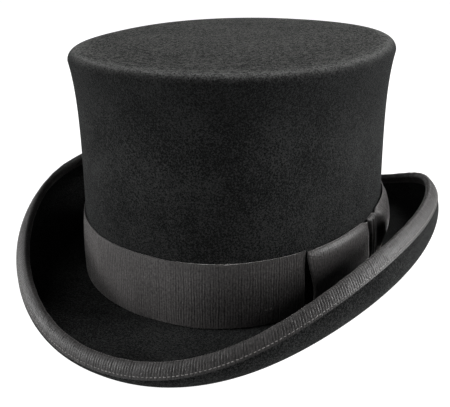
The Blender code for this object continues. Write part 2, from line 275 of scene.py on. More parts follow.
def grid(name, rows, material, slot, nodes, wrap=True, stack=False, pole=False, **values):
    """A surface through an array of points, rows by columns. Its UVs are distances along and across it.

    wrap joins the last column to the first, stack the last row to the first, and pole closes the last row.
    """
    count, width = rows.shape[:2]
    u = np.concatenate([[0], np.cumsum(np.linalg.norm(np.diff(rows[count // 2], axis=0), axis=1))])
    u = np.append(u, u[-1] + np.linalg.norm(rows[count // 2, 0] - rows[count // 2, -1]))
    v = np.concatenate([[0], np.cumsum(np.linalg.norm(np.diff(rows[:, 0], axis=0), axis=1))])
    v = np.append(v, v[-1] + np.linalg.norm(rows[0, 0] - rows[-1, 0]))
    r = np.arange(count if stack else count - 1)[:, None]
    c = np.arange(width if wrap else width - 1)[None, :]
    r2, c2 = (r + 1) % count, (c + 1) % width
    quad = (r * width + c, r * width + c2, r2 * width + c2, r2 * width + c)
    quads = np.stack(np.broadcast_arrays(*quad), axis=-1)
    u1, u2, v1, v2 = np.broadcast_arrays(u[c], u[c + 1], v[r], v[r + 1])
    corners = np.stack([u1, v1, u2, v1, u2, v2, u1, v2], axis=-1).reshape(-1, 2)
    points = rows.reshape(-1, 3)
    faces = quads.reshape(-1, 4).tolist()
    if pole:
        middle = points[-width:].mean(axis=0)
        base = len(points) - width
        faces += [(base + i, base + (i + 1) % width, len(points)) for i in range(width)]
        fan = [[(u[i], v[-2]), (u[i + 1], v[-2]), (u[i], v[-2] + 0.001)] for i in range(width)]
        corners = np.concatenate([corners, np.array(fan).reshape(-1, 2)])
        points = np.vstack([points, middle])
    return piece(name, points, faces, material, slot, nodes, corners, **values)


def thicken(thing, thickness, side):
    """side is 1 to grow along the normals and -1 to grow against them."""
    shell = thing.modifiers.new("thickness", "SOLIDIFY")
    shell.thickness = thickness
    shell.offset = side


def rings(section, count=RING):
    """Rows of points round the hat from section(angles), which gives offsets and heights, rows by columns."""
    angles = math.pi + TURN * np.arange(count) / count
    offsets, heights = section(angles)
    return place(angles[None, :], offsets, heights)


def tube(points, radius, sides=10):
    """Rows of points for a closed loop of round cord through points."""
    ahead = unit(np.roll(points, -1, axis=0) - np.roll(points, 1, axis=0))
    across = unit(np.cross(ahead, [0, 0, 1.0]))
    up = np.cross(across, ahead)
    turns = (TURN * np.arange(sides) / sides)[:, None, None]
    return points[None] + radius * (np.cos(turns) * across + np.sin(turns) * up)


def stitch_points(path, spans, radius, rise, sides=6, steps=6):
    """Short arched lengths of thread.

    path(along, across, out) gives points. spans hold where each thread starts and ends, along and across.
    """
    spans = np.asarray(spans, dtype=float)
    share = np.linspace(0, 1, steps)[None, :]
    along = spans[:, 0:1] + (spans[:, 2:3] - spans[:, 0:1]) * share
    across = spans[:, 1:2] + (spans[:, 3:4] - spans[:, 1:2]) * share
    out = rise * np.sin(math.pi * share) - 0.6 * radius + 0 * along
    centre = path(along, across, out)
    normal = unit(path(along, across, out + TINY) - centre)
    side = np.cross(unit(np.gradient(centre, axis=1)), normal)
    girth = radius * (0.7 + 0.3 * np.sin(math.pi * share))[..., None]
    turns = TURN * np.arange(sides) / sides
    ring = [centre + girth * (math.cos(t) * normal + math.sin(t) * side) for t in turns]
    points = np.stack(ring, axis=2)  # stitch, step, side
    count = len(spans)
    faces = []
    for n in range(count):
        base = n * steps * sides
        for k in range(steps - 1):
            low, high = base + k * sides, base + (k + 1) * sides
            for s in range(sides):
                after = (s + 1) % sides
                faces.append((low + s, high + s, high + after, low + after))
        faces.append(tuple(base + s for s in range(sides)))
        faces.append(tuple(base + (steps - 1) * sides + s for s in reversed(range(sides))))
    return points.reshape(-1, 3), faces


def joined(parts):
    """One list of points and faces from several."""
    points, faces, base = [], [], 0
    for part_points, part_faces in parts:
        points.append(part_points)
        faces += [tuple(base + i for i in face) for face in part_faces]
        base += len(part_points)
    return np.vstack(points), faces


# ---- materials -----------------------------------------------------------------------------------


class Finish:
    """A material's node tree under construction."""

    def __init__(self, name, roughness, sheen=0.0, sheen_roughness=0.5, sheen_tint=(1, 1, 1), specular=0.5):
        self.material = bpy.data.materials.new(name)
        self.material.use_nodes = True
        self.tree = self.material.node_tree
        self.shader = self.tree.nodes["Principled BSDF"]
        self.shader.inputs["Roughness"].default_value = roughness
        self.shader.inputs["Sheen Weight"].default_value = sheen
        self.shader.inputs["Sheen Roughness"].default_value = sheen_roughness
        self.shader.inputs["Sheen Tint"].default_value = (*sheen_tint, 1)
        self.shader.inputs["Specular IOR Level"].default_value = specular

    def add(self, kind, inputs=None, **settings):
        node = self.tree.nodes.new("ShaderNode" + kind)
        for label, value in settings.items():
            setattr(node, label, value)
        for label, value in (inputs or {}).items():
            socket = node.inputs[label]
            if isinstance(value, bpy.types.NodeSocket):
                self.tree.links.new(value, socket)
            else:
                socket.default_value = value
        return node

    def math(self, operation, *values, clamp=False):
        return self.add("Math", dict(enumerate(values)), operation=operation, use_clamp=clamp).outputs[0]

    def place(self):
        return self.add("TexCoord").outputs["Object"]

    def cloth(self):
        return self.add("UVMap", uv_map="cloth").outputs["UV"]

    def scaled(self, vector, scale):
        return self.add("Mapping", {"Vector": vector, "Scale": scale}).outputs["Vector"]

    def noise(self, vector, scale, detail=3.0, roughness=0.55, distortion=0.0):
        inputs = {"Vector": vector, "Scale": scale, "Detail": detail}
        inputs.update({"Roughness": roughness, "Distortion": distortion})
        return self.add("TexNoise", inputs).outputs["Fac"]

    def attribute(self, name):
        return self.add("Attribute", attribute_name=name).outputs["Fac"]

    def ramp(self, value, low, high):
        """value mapped from low..high to 0..1."""
        inputs = {"Value": value, "From Min": low, "From Max": high}
        return self.add("MapRange", inputs, clamp=True).outputs[0]

    def mix(self, share, first, second):
        node = self.add("Mix", data_type="RGBA")
        for socket, value in zip((node.inputs[0], node.inputs[6], node.inputs[7]), (share, first, second)):
            if isinstance(value, bpy.types.NodeSocket):
                self.tree.links.new(value, socket)
            else:
                socket.default_value = value if isinstance(value, float) else (*value, 1)
        return node.outputs[2]

    def colour(self, socket):
        self.tree.links.new(socket, self.shader.inputs["Base Color"])

    def rough(self, socket):
        self.tree.links.new(socket, self.shader.inputs["Roughness"])

    def bump(self, *layers):
        """layers are (height socket, distance), the coarsest first."""
        normal = None
        for height, distance in layers:
            inputs = {"Height": height, "Distance": distance, "Strength": 1.0}
            if normal:
                inputs["Normal"] = normal
            normal = self.add("Bump", inputs).outputs["Normal"]
        self.tree.links.new(normal, self.shader.inputs["Normal"])


def felt_finish():
    """Wool felt: matted fibres, slight blotches, a brushed swirl on the tip, a tip made paler as a painted
    highlight, and a paler shoulder that is partly wear and partly a painted highlight.

    The wall is darker under the shoulder: painted shade where the flared top of the wall faces down.
    """
    f = Finish("felt_wool", 0.95, sheen=0.08, sheen_tint=(0.90, 0.94, 0.94), specular=0.09)
    spot = f.place()
    mottle = f.noise(spot, 1150.0, 3.0, 0.65)
    fibres = f.noise(spot, 660.0, 5.0, 0.80, 1.8)
    blotch = f.noise(spot, 38.0, 3.0, 0.5)
    to_round = (HALF_LENGTH / HALF_WIDTH, 1.0, 0.0)
    flat = f.add("VectorMath", {0: spot, 1: to_round}, operation="MULTIPLY").outputs[0]
    reach = f.add("VectorMath", {0: flat}, operation="LENGTH").outputs["Value"]
    heading = f.add("VectorMath", {0: flat}, operation="NORMALIZE").outputs[0]
    around = f.add("VectorMath", {0: heading, "Scale": 17.0}, operation="SCALE").outputs[0]
    apart = f.add("SeparateXYZ", {0: around})
    depth = f.math("MULTIPLY", reach, 640.0)
    swirl_at = f.add("CombineXYZ", {0: apart.outputs[0], 1: apart.outputs[1], 2: depth}).outputs[0]
    swirl = f.noise(swirl_at, 1.0, 4.0, 0.65, 0.4)
    tip = f.attribute("tip")
    tone = f.math("ADD", f.math("MULTIPLY", mottle, 0.5), f.math("MULTIPLY", fibres, 0.5))
    tone = f.math("ADD", tone, f.math("MULTIPLY", f.math("SUBTRACT", blotch, 0.5), 0.12))
    tufts = f.noise(spot, 820.0, 4.0, 0.70, 1.0)
    brushed = f.math("ADD", f.math("MULTIPLY", swirl, 0.5), f.math("MULTIPLY", tufts, 0.8))
    tone = f.math("ADD", tone, f.math("MULTIPLY", f.math("SUBTRACT", brushed, 0.65), tip))
    # painted shade: the felt's colour is made darker just under the shoulder, where the flared wall faces down
    under = f.ramp(f.attribute("rise"), 0.098, 0.122)
    light = f.mix(under, (0.0465, 0.0475, 0.0470), (0.0270, 0.0277, 0.0276))
    # painted highlight: the tip's felt is made far paler, standing in for light falling on it from above
    light = f.mix(tip, light, (0.124, 0.123, 0.117))
    cloth = f.mix(f.ramp(tone, 0.472, 0.562), (0.0012, 0.0013, 0.0014), light)
    # the shoulder's paler colour is partly wear of the nap and partly a painted highlight
    worn = f.math("MULTIPLY", f.attribute("worn"), f.ramp(tone, 0.40, 0.60))
    f.colour(f.mix(worn, cloth, (0.235, 0.235, 0.229)))
    f.bump((mottle, 0.0010), (fibres, 0.0009))
    return f.material


def ribbon_finish(name, dark, light, sheen, groove):
    """Grosgrain: the ribs are modelled, and this adds fine threads, painted shade in the grooves and along the
    edges, and slight changes of tone.
    """
    f = Finish(name, 0.50, sheen=sheen, sheen_roughness=0.3, sheen_tint=(1.0, 0.97, 0.96), specular=0.5)
    at = f.cloth()
    threads = f.noise(f.scaled(at, (900.0, 1300.0, 1.0)), 1.0, 3.0, 0.6)
    ribs = f.noise(f.scaled(at, (1100.0, 520.0, 1.0)), 1.0, 2.0, 0.5)
    cloud = f.noise(f.place(), 55.0, 3.0, 0.5)
    tone = f.math("ADD", f.math("MULTIPLY", threads, 0.4), f.math("MULTIPLY", ribs, 0.45))
    tone = f.math("ADD", tone, f.math("MULTIPLY", cloud, 0.15))
    cloth = f.mix(f.ramp(tone, 0.40, 0.60), dark, light)
    # painted shade: the groove mask darkens the ribs' grooves and the ribbons' edges
    f.colour(f.mix(f.math("MULTIPLY", f.attribute("groove"), groove), cloth, (0.010, 0.0095, 0.0093)))
    f.rough(f.math("ADD", f.math("MULTIPLY", cloud, 0.2), 0.32))
    f.bump((ribs, 0.00020), (threads, 0.00025))
    return f.material


def thread_finish():
    f = Finish("sewing_thread", 0.55, sheen=0.2, sheen_roughness=0.3)
    spot = f.place()
    strand = f.noise(spot, 5200.0, 2.0, 0.5)
    shade = f.noise(spot, 160.0, 2.0, 0.5)
    f.colour(f.mix(f.ramp(shade, 0.35, 0.65), (0.200, 0.190, 0.185), (0.340, 0.325, 0.315)))
    f.bump((strand, 0.00006))
    return f.material


def leather_finish():
    """Sweatband leather: fine pebbled grain, faint creases and slight changes of shade and gloss."""
    f = Finish("hat_leather", 0.42, specular=0.45)
    spot = f.place()
    cells = f.add("TexVoronoi", {"Vector": spot, "Scale": 1250.0}, feature="DISTANCE_TO_EDGE")
    pebble = cells.outputs["Distance"]
    crease_lines = f.noise(spot, 420.0, 5.0, 0.65, 1.2)
    patch = f.noise(spot, 45.0, 3.0, 0.5)
    f.colour(f.mix(f.ramp(patch, 0.3, 0.7), (0.011, 0.0085, 0.0075), (0.024, 0.018, 0.015)))
    f.rough(f.math("ADD", f.math("MULTIPLY", patch, 0.25), 0.30))
    f.bump((crease_lines, 0.00012), (f.ramp(pebble, 0.0, 0.12), 0.00006))
    return f.material


def satin_finish():
    """Lining satin: smooth floats with a very fine weave and slight shade changes."""
    f = Finish("lining_satin", 0.32, sheen=0.1, sheen_roughness=0.3, specular=0.6)
    at = f.cloth()
    weave = f.noise(f.scaled(at, (3000.0, 500.0, 1.0)), 1.0, 2.0, 0.5)
    shade = f.noise(f.place(), 30.0, 3.0, 0.5)
    f.colour(f.mix(f.ramp(shade, 0.3, 0.7), (0.009, 0.009, 0.0105), (0.018, 0.018, 0.021)))
    f.rough(f.math("ADD", f.math("MULTIPLY", weave, 0.18), 0.24))
    f.bump((weave, 0.00003))
    return f.material


def welt_finish():
    f = Finish("welt_tape", 0.85, sheen=0.2)
    wave = {"Vector": f.cloth(), "Scale": 640.0, "Distortion": 0.6}
    warp = f.add("TexWave", wave, bands_direction="X").outputs["Fac"]
    weft = f.add("TexWave", wave, bands_direction="Y").outputs["Fac"]
    weave = f.math("MULTIPLY", warp, weft)
    f.colour(f.mix(weave, (0.012, 0.012, 0.013), (0.028, 0.028, 0.029)))
    f.bump((weave, 0.00012))
    return f.material


def reed_finish():
    f = Finish("reed_plastic_drawn", 0.38, specular=0.5)
    spot = f.place()
    haze = f.noise(spot, 210.0, 3.0, 0.5)
    f.colour(f.mix(haze, (0.045, 0.042, 0.038), (0.075, 0.070, 0.064)))
    f.rough(f.math("ADD", f.math("MULTIPLY", haze, 0.2), 0.3))
    f.bump((f.noise(spot, 900.0, 2.0, 0.5), 0.00002))
    return f.material


# ---- felt ----------------------------------------------------------------------------------------


def felt_section(angle):
    """The brim's upper face from its cut edge in to the crown, then the crown's outer face and shoulder."""
    _, radius, slope, end = roll(angle)
    last = end - EDGE_ROOM / radius
    turns = slope + (last - slope) * np.linspace(1, 0, 26)[:, None]
    offsets, heights = on_roll(angle, radius - FELT, turns)
    corner = crease(angle)
    along = (corner[0] + CREASE_FILLET * np.cos(slope), corner[1] + CREASE_FILLET * np.sin(slope))
    above = (wall_offset(corner[1] + CREASE_FILLET), corner[1] + CREASE_FILLET)
    share = np.linspace(0, 1, 12)[1:-1, None]
    offsets = np.vstack([offsets, offsets[-1] + (along[0] - offsets[-1]) * share])
    heights = np.vstack([heights, heights[-1] + (along[1] - heights[-1]) * share])
    t = np.linspace(0, 1, 6)[:, None]
    curve = [(1 - t) ** 2 * a + 2 * t * (1 - t) * c + t**2 * b for a, c, b in zip(along, corner, above)]
    offsets, heights = np.vstack([offsets, curve[0]]), np.vstack([heights, curve[1]])
    top = CROWN_HEIGHT - SHOULDER_RADIUS
    wall = above[1] + (top - above[1]) * np.linspace(0, 1, 40)[1:, None]
    offsets, heights = np.vstack([offsets, wall_offset(wall)]), np.vstack([heights, wall])
    turn = QUARTER * np.linspace(0, 1, 9)[1:, None] + 0 * angle
    offsets = np.vstack([offsets, wall_offset(top) - SHOULDER_RADIUS * (1 - np.cos(turn))])
    return offsets, np.vstack([heights, top + SHOULDER_RADIUS * np.sin(turn)])


def tip_rows(offset, height, scales, sag=0.0):
    """Rings of the domed tip, shrunk towards its middle."""
    angles = math.pi + TURN * np.arange(RING) / RING
    x, y = oval(angles, offset)
    s = np.asarray(scales)[:, None]
    dome = TIP_DOME * (1 - np.maximum(s, TIP_FLAT) ** 2) - sag * (1 - s**2) ** 2
    dip = 0.00016 * np.sin(34 * x * s + 0.8) * np.sin(27 * y * s + 0.3) * (1 - s**4)
    return lift(x * s, y * s, height + dome + dip)


def make_felt(material):
    body = rings(felt_section)
    rim = wall_offset(CROWN_HEIGHT) - SHOULDER_RADIUS
    scales = np.concatenate([[0.985, 0.97], np.linspace(0.95, 0.02, 26)])
    tips = tip_rows(rim, CROWN_HEIGHT, scales)
    tips[:2] += (body[-1] - tip_rows(rim, CROWN_HEIGHT, [1.0])[0]) * np.array([0.6, 0.3])[:, None, None]
    rows = np.concatenate([body, tips])
    height = rows[..., 2] - BRIM_DROP
    heights = np.append(height.ravel(), CROWN_HEIGHT)
    order = np.repeat(np.arange(len(rows)), RING)
    rounded = len(body) - 2
    # mask of the paler shoulder ridge: partly wear, partly a painted highlight
    worn = np.exp(-(((order - rounded) / 3.0) ** 2))
    # tip mask: carries the brushed swirl and also the tip's painted highlight in the felt's colour
    tip = smooth(order, len(body) - 5, len(body) + 2)
    thing = grid(
        "felt_hat_body", rows, material, "felt", ["felt_body"], pole=True,
        worn=np.append(worn, 0.0), tip=np.append(tip, 1.0), rise=heights,
    )
    thicken(thing, FELT, -1)


# ---- binding and its stitches --------------------------------------------------------------------


def ribs(count, share):
    """Height of a ribbon's ribs, three points to each, and how far each point lies in a groove.

    The ribs fade into the woven edges and are not all of one size.
    """
    step, up = np.arange(count)[None, :], share[:, None]
    groove = np.mod(step, 3) == 0
    uneven = 1 + 0.35 * np.sin(step * 0.71 + 2 * np.sin(step * 0.113)) + 0.2 * np.sin(step * 2.37)
    uneven = uneven + 0.45 * np.sin(step * 1.13 - 23 * up) * np.sin(step * 0.37 + 13 * up)
    height = np.where(groove, -RIB_DEPTH, 0.5 * RIB_DEPTH) * uneven
    body = smooth(np.minimum(up, 1 - up), 0.0, 0.035)
    # the groove share is painted as shade in the ribbons' colour
    return height * body, groove * body * np.clip(uneven, 0.1, 1.4)


def wander(along, share):
    """How far ribs stray sideways as they cross the ribbon."""
    return 0.00016 * np.sin(along * 330 + 7 * share) + 0.00012 * np.sin(along * 870 - 19 * share)


def edge_point(along, across, out):
    """Point on the brim's edge: along it, across the ribbon from its lower outer edge, and out from it."""
    angle = EDGE.angle(along)
    _, radius, _, end = roll(angle)
    first, last = end - BINDING_WIDTH / radius, end - EDGE_ROOM / radius
    flat = BINDING_WIDTH - EDGE_ROOM
    bend = QUARTER * (FELT + 2 * GAP)
    turn = np.clip((across - flat) / (2 * bend), 0, 1) * math.pi
    under = np.clip(across / flat, 0, 1)
    over = np.clip((across - flat - 2 * bend) / flat, 0, 1)
    direction = first + (last - first) * (under - over)
    past = (GAP + (EDGE_ROOM - RIBBON - GAP + FELT / 4)) * np.sin(turn)
    distance = radius - FELT / 2 + (FELT / 2 + GAP + out) * np.cos(turn)
    return place(angle, *on_roll(angle, distance, direction + (past + out * np.sin(turn)) / radius))


BEND = math.pi * (FELT + 2 * GAP)
BINDING_FLAT = 2 * (BINDING_WIDTH - EDGE_ROOM) + BEND


def binding_dip(along, across):
    """How far the binding stands off: it is slightly loose, and drawn in along the stitches."""
    near = np.exp(-(((across - STITCH_INSET) / STITCH_PULL) ** 2))
    near += np.exp(-(((BINDING_FLAT - across - STITCH_INSET) / STITCH_PULL) ** 2))
    between_stitches = 0.5 + 0.5 * np.cos(TURN * along / STITCH_PITCH)
    loose = 0.00009 * np.sin(along * 410 + 2 * np.sin(along * 67)) * np.sin(math.pi * across / BINDING_FLAT)
    return loose - near * (0.00008 + 0.00010 * between_stitches)


def make_binding(material):
    count = round(EDGE.length / RIB) * 3
    along = EDGE.length * np.arange(count) / count
    flat = BINDING_WIDTH - EDGE_ROOM
    stops = np.array([0.0, 0.0001, 0.0007, 0.0014, 0.0022, 0.0045, flat])
    turn = flat + BEND * np.array([0.2, 0.4, 0.6, 0.8])
    across = np.concatenate([stops, turn, BINDING_FLAT - stops[::-1]])
    rise, groove = ribs(count, across / BINDING_FLAT)
    out = binding_dip(along[None, :], across[:, None]) + BINDING_RIBS * rise
    from_edge = np.minimum(across, BINDING_FLAT - across)[:, None]
    # painted shade: darker lines along both edges of the binding, where it meets the felt
    groove = np.maximum(groove, 1.6 * np.exp(-((from_edge / 0.0006) ** 2)))
    rows = edge_point(along[None, :], across[:, None], RIBBON + out)
    thing = grid("ribbon_binding", rows, material, "grosgrain", ["brim_binding"], groove=groove.ravel())
    thicken(thing, RIBBON * 0.8, -1)


def make_binding_stitches(material):
    rng = np.random.default_rng(11)
    count = round(EDGE.length / STITCH_PITCH)
    pitch = EDGE.length / count
    parts = []
    for across in (STITCH_INSET, BINDING_FLAT - STITCH_INSET):
        middle = pitch * (np.arange(count) + 0.5) + rng.normal(0, 0.00006, count)
        half = STITCH_HALF + rng.normal(0, 0.00005, count)
        skew = rng.normal(0, 0.00007, count)
        spans = np.stack([middle - half, across - skew, middle + half, across + skew], axis=1)

        def path(along, over, out):
            return edge_point(along, over, RIBBON - 0.00010 + out)

        parts.append(stitch_points(path, spans, THREAD, 0.00016))
    points, faces = joined(parts)
    piece("binding_stitches", points, faces, material, "thread", ["binding_stitching"])


# ---- band and bow --------------------------------------------------------------------------------


def outward(angle):
    """Level directions square to the crown at plan angles."""
    near, far = (np.stack(oval(angle, reach), axis=-1) for reach in (0.0, 1.0))
    return np.concatenate([far - near, 0 * near[..., :1]], axis=-1)


def crown_point(along, rise, out):
    """Point on the crown: along it from the bow, up from the band's lower edge, and out from the felt."""
    angle = CROWN.angle(along)
    height = band_low(angle) + rise
    return place(angle, wall_offset(height) + out, height)


def make_band(material):
    length = CROWN.length - 2 * BAND_END
    count = round(length / RIB) * 3 + 1
    along = BAND_END + length * np.arange(count) / (count - 1)
    share = np.array([0, 0.002, 0.008, 0.02, 0.035, 0.06, 0.15, 0.3, 0.45])
    share = np.concatenate([share, 1 - share[::-1]])
    edge = np.minimum(share, 1 - share)[:, None]
    selvage = 0.00005 * np.exp(-(((edge - 0.012) / 0.008) ** 2))
    # rim_line: painted shade along the band's very edges where it meets the felt, and a thin darker line just
    # inside them
    rim_line = 0.9 * np.exp(-(((edge - 0.05) / 0.012) ** 2)) + 3.0 * np.exp(-((edge / 0.006) ** 2))
    slack_at = (CROWN.angle(along) - SLACK_AT) / SLACK_WIDTH
    slack = SLACK * np.exp(-(slack_at**2))[None, :] * np.sin(math.pi * share[:, None])
    wave = 0.00010 * np.sin(along * 150 + 1.5 * np.sin(along * 37))[None, :] * (1 - 2 * share[:, None])
    rise, groove = ribs(count, share)
    rise, groove = BAND_RIBS * rise, np.maximum(groove, rim_line)
    out = RIBBON + GAP + rise + selvage + np.abs(wave) * 0.8 + slack
    strayed = along[None, :] + wander(along[None, :], share[:, None])
    rows = crown_point(strayed, share[:, None] * BAND_WIDTH + wave, out)
    thing = grid("ribbon_band", rows, material, "grosgrain", ["hat_band"], wrap=False, groove=groove.ravel())
    thicken(thing, RIBBON * 0.8, -1)


def bow_surface(along, share, layer):
    """Point of the bow's flat ribbon ring. share runs up the ribbon, layer from its back (0) to its face (1).

    The front loop stands off the crown and turns down sharply beside the knot; the rear one swells out of it.
    """
    past = np.maximum(np.abs(along - KNOT_AT) - KNOT_HALF, 0.0)
    front = along < KNOT_AT
    loop = np.clip(past / (BOW_REACH - KNOT_HALF - np.where(front, -KNOT_AT, KNOT_AT)), 0, 1)
    draw_in = BOW_PINCH * np.exp(-((loop / np.where(front, 0.13, 0.06)) ** 2))
    low, high = BOW_LOW + draw_in, BOW_HIGH - draw_in
    rise = low + (high - low) * share
    lean = smooth(1 - share, 0.0, 0.75) - 0.18 * smooth(1 - share, 0.7, 1.0)
    slanted = along * (1 - BOW_SLANT / BOW_REACH * lean * loop**3)
    rear = np.maximum(past - REAR_LAG * (1 - share), 0.0)
    held = np.where(front, (past / FRONT_SWELL) ** 3, (rear / REAR_SWELL) ** 1.7)
    swell = 1 - np.exp(-held)
    bulge = 1 - 0.85 * np.abs(2 * share - 1) ** 2.6
    across = np.where(front, 0.5 * bulge, bulge * smooth(share, 0.0, 0.62))
    puff = BOW_PUFF * swell * (1 - loop**2.2) * across
    valley = VALLEY_DEPTH * np.exp(-((past / VALLEY_REACH) ** 2))
    pleat = PLEAT_HEIGHT * np.exp(-past / PLEAT_REACH) * np.sin(TURN * 2.4 * share + 0.8 + 0.9 * front)
    pressed = smooth(np.minimum(share, 1 - share), 0.0, 0.10)
    apart = RIBBON + (BOW_FACE + puff + pleat - valley - BOW_BACK - RIBBON) * pressed
    return crown_point(slanted, rise, BOW_BACK + layer * apart)


def make_bow_loops(material):
    fold = (BOW_FACE - BOW_BACK) / 2
    straight = BOW_REACH - fold
    length = 4 * straight + 2 * math.pi * fold
    count = round(length / RIB) * 3
    s = length * np.arange(count) / count
    bend = math.pi * fold
    face = s < 2 * straight
    front = (s >= 2 * straight) & (s < 2 * straight + bend)
    back = (s >= 2 * straight + bend) & (s < 4 * straight + bend)
    turn = np.where(front, (s - 2 * straight) / fold, (s - 4 * straight - bend) / fold)
    along = np.where(face, s - straight, 3 * straight + bend - s)
    along = np.where(front, straight + fold * np.sin(turn), along)
    along = np.where(~(face | front | back), -straight - fold * np.sin(turn), along)
    layer = np.where(face, 1.0, np.where(front, 0.5 + 0.5 * np.cos(turn), 0.0))
    layer = np.where(~(face | front | back), 0.5 - 0.5 * np.cos(turn), layer)
    share = np.array([0, 0.003, 0.012, 0.03, 0.05, 0.08, 0.16, 0.28, 0.4])
    share = np.concatenate([share, [0.5], 1 - share[::-1]])
    rise, groove = ribs(count, share)
    rise, groove = BOW_RIBS * rise, 0.25 * groove
    rib = rise * np.where(layer > 0.5, 1.0, -1.0)[None, :]
    rows = bow_surface(along[None, :], share[:, None], layer[None, :])
    rows = rows + rib[..., None] * outward(CROWN.angle(along))[None, :, :]
    thing = grid("ribbon_bow", rows, material, "grosgrain", ["bow_loops"], groove=groove.ravel())
    thicken(thing, RIBBON * 0.6, -1)


def make_bow_knot(material):
    """A short ribbon wrapped over the middle of the bow, drawn into pleats that run up it."""
    low = BOW_LOW + BOW_PINCH - GAP - RIBBON
    high = BOW_HIGH - BOW_PINCH + GAP + RIBBON
    face = KNOT_FACE
    corner = KNOT_CORNER
    turn = QUARTER * np.linspace(0.2, 1, 4)
    rise = np.concatenate([[low, low], low + corner * (1 - np.cos(turn))])
    out = np.concatenate([[GAP, face - corner], face - corner + corner * np.sin(turn)])
    middle = low + corner + (high - low - 2 * corner) * np.linspace(0, 1, 26)[1:-1]
    rise = np.concatenate([rise, middle, (low + high) - rise[::-1]])
    out = np.concatenate([out, np.full(len(middle), face), out[::-1]])
    share = np.clip((rise - low) / (high - low), 0, 1)
    out = out + KNOT_CROWN * np.sin(math.pi * share)
    across = np.linspace(-1, 1, 33)
    waist = 1 - 0.16 * np.sin(math.pi * share)
    flare = 1 + 0.7 * (1 - share)[:, None] * (across < 0)[None, :]
    along = (KNOT_HALF + 0.0002) * across[None, :] * waist[:, None] * flare
    pleats = KNOT_PLEAT * np.cos(across[None, :] * 7.5 + 0.9 * np.sin(3 * share[:, None]) + 0.5)
    crown = np.where(across < 0, -0.0004, -0.0012)[None, :] * across[None, :] ** 4
    shaped = np.where(out[:, None] > 0.001, out[:, None] + pleats + crown, out[:, None])
    rows = crown_point(KNOT_AT - along, rise[:, None], np.maximum(shaped, GAP))
    thing = grid("ribbon_knot", rows, material, "grosgrain", ["bow_knot"], wrap=False)
    thicken(thing, RIBBON * 0.6, -1)


def make_tacks(material):
    """The two short bars of thread that hold the bow's loop and the band down."""

    def bow_path(along, rise, out):
        return crown_point(along, rise, BOW_FACE + 0.0004 + out)

    def band_path(along, rise, out):
        return crown_point(along, rise, GAP + RIBBON + out)

    bow = [(-0.0599, 0.0344, -0.0583, 0.0347), (-0.0598, 0.0349, -0.0586, 0.0341)]
    points, faces = stitch_points(bow_path, bow, THREAD, 0.0003)
    piece("bow_tack_stitches", points, faces, material, "thread", ["bow_tack"])
    band = [(-0.0848, 0.0086, -0.0833, 0.0083), (-0.0817, 0.0083, -0.0810, 0.0092)]
    points, faces = stitch_points(band_path, band, THREAD, 0.0003)
    piece("band_tack_stitches", points, faces, material, "thread", ["band_tack"])


# ---- inside --------------------------------------------------------------------------------------


def make_sweatband(material, thread):
    depth = 2 * GAP + WELT
    angles = math.pi + SEAM + (TURN - 2 * SEAM) * np.linspace(0, 1, RING + 1)
    share = np.array([0, 0.012, 0.04, 0.08, 0.12, 0.2, 0.35, 0.5, 0.65, 0.8, 0.92, 0.975, 1.0])[:, None]
    low = sweatband_low(angles)[None, :]
    heights = low + SWEATBAND_WIDTH * share
    uneven = (1 + np.sin(11 * angles + 0.5) * np.sin(5 * angles))[None, :]
    lean_in = 0.00045 * smooth(share, 0.6, 1.0) * uneven
    dent = 0.00018 * np.exp(-(((share - STITCH_LEVEL) / 0.02) ** 2))
    rows = place(angles[None, :], inner_wall(heights) - depth - lean_in + dent, heights)
    thing = grid("leather_sweatband", rows, material, "leather", ["sweatband"], wrap=False)
    thicken(thing, SWEATBAND, -1)

    def path(angle, rise, out):
        height = sweatband_low(angle) + rise
        return place(angle, inner_wall(height) - depth - SWEATBAND + 0.00012 - out, height)

    rng = np.random.default_rng(5)
    total = SWEATBAND_STITCHES
    start = math.pi + SEAM * 3 + (TURN - 6 * SEAM) * np.arange(total) / total
    step = (TURN - 6 * SEAM) / total
    rise = SWEATBAND_WIDTH * STITCH_LEVEL + rng.normal(0, 0.00005, total)
    spans = np.stack([start + 0.14 * step, rise, start + 0.86 * step, rise], axis=1)
    points, faces = stitch_points(path, spans, THREAD * 0.9, 0.00014)
    piece("sweatband_stitches", points, faces, thread, "thread", [])


def reed_centre(angle):
    height = sweatband_low(angle) - GAP - REED_RADIUS
    return inner_wall(height) - 2 * GAP - WELT - REED_RADIUS, height


def make_reed(material):
    angles = math.pi + TURN * np.arange(RING) / RING
    rows = tube(place(angles, *reed_centre(angles)), REED_RADIUS, 12)
    grid("sweatband_reed_rod", rows, material, "reed_plastic", ["sweatband_reed"], stack=True)


def make_welt(material):
    def section(angle):
        offset, height = reed_centre(angle)
        radius = REED_RADIUS + GAP + WELT
        top = sweatband_low(angle) + WELT_LEG
        leg = top + (height - top) * np.linspace(0, 1, 8)[:-1, None]
        turns = -math.pi * np.linspace(0, 1, 11)[:, None] + 0 * angle
        straight = inner_wall(leg) - GAP
        hook = offset + radius * np.cos(turns)
        return np.vstack([straight, hook]), np.vstack([leg, height + radius * np.sin(turns)])

    rows = rings(section)
    thing = grid("cloth_welt", rows, material, "welt_cloth", ["reed_welt"])
    thicken(thing, WELT, 1)


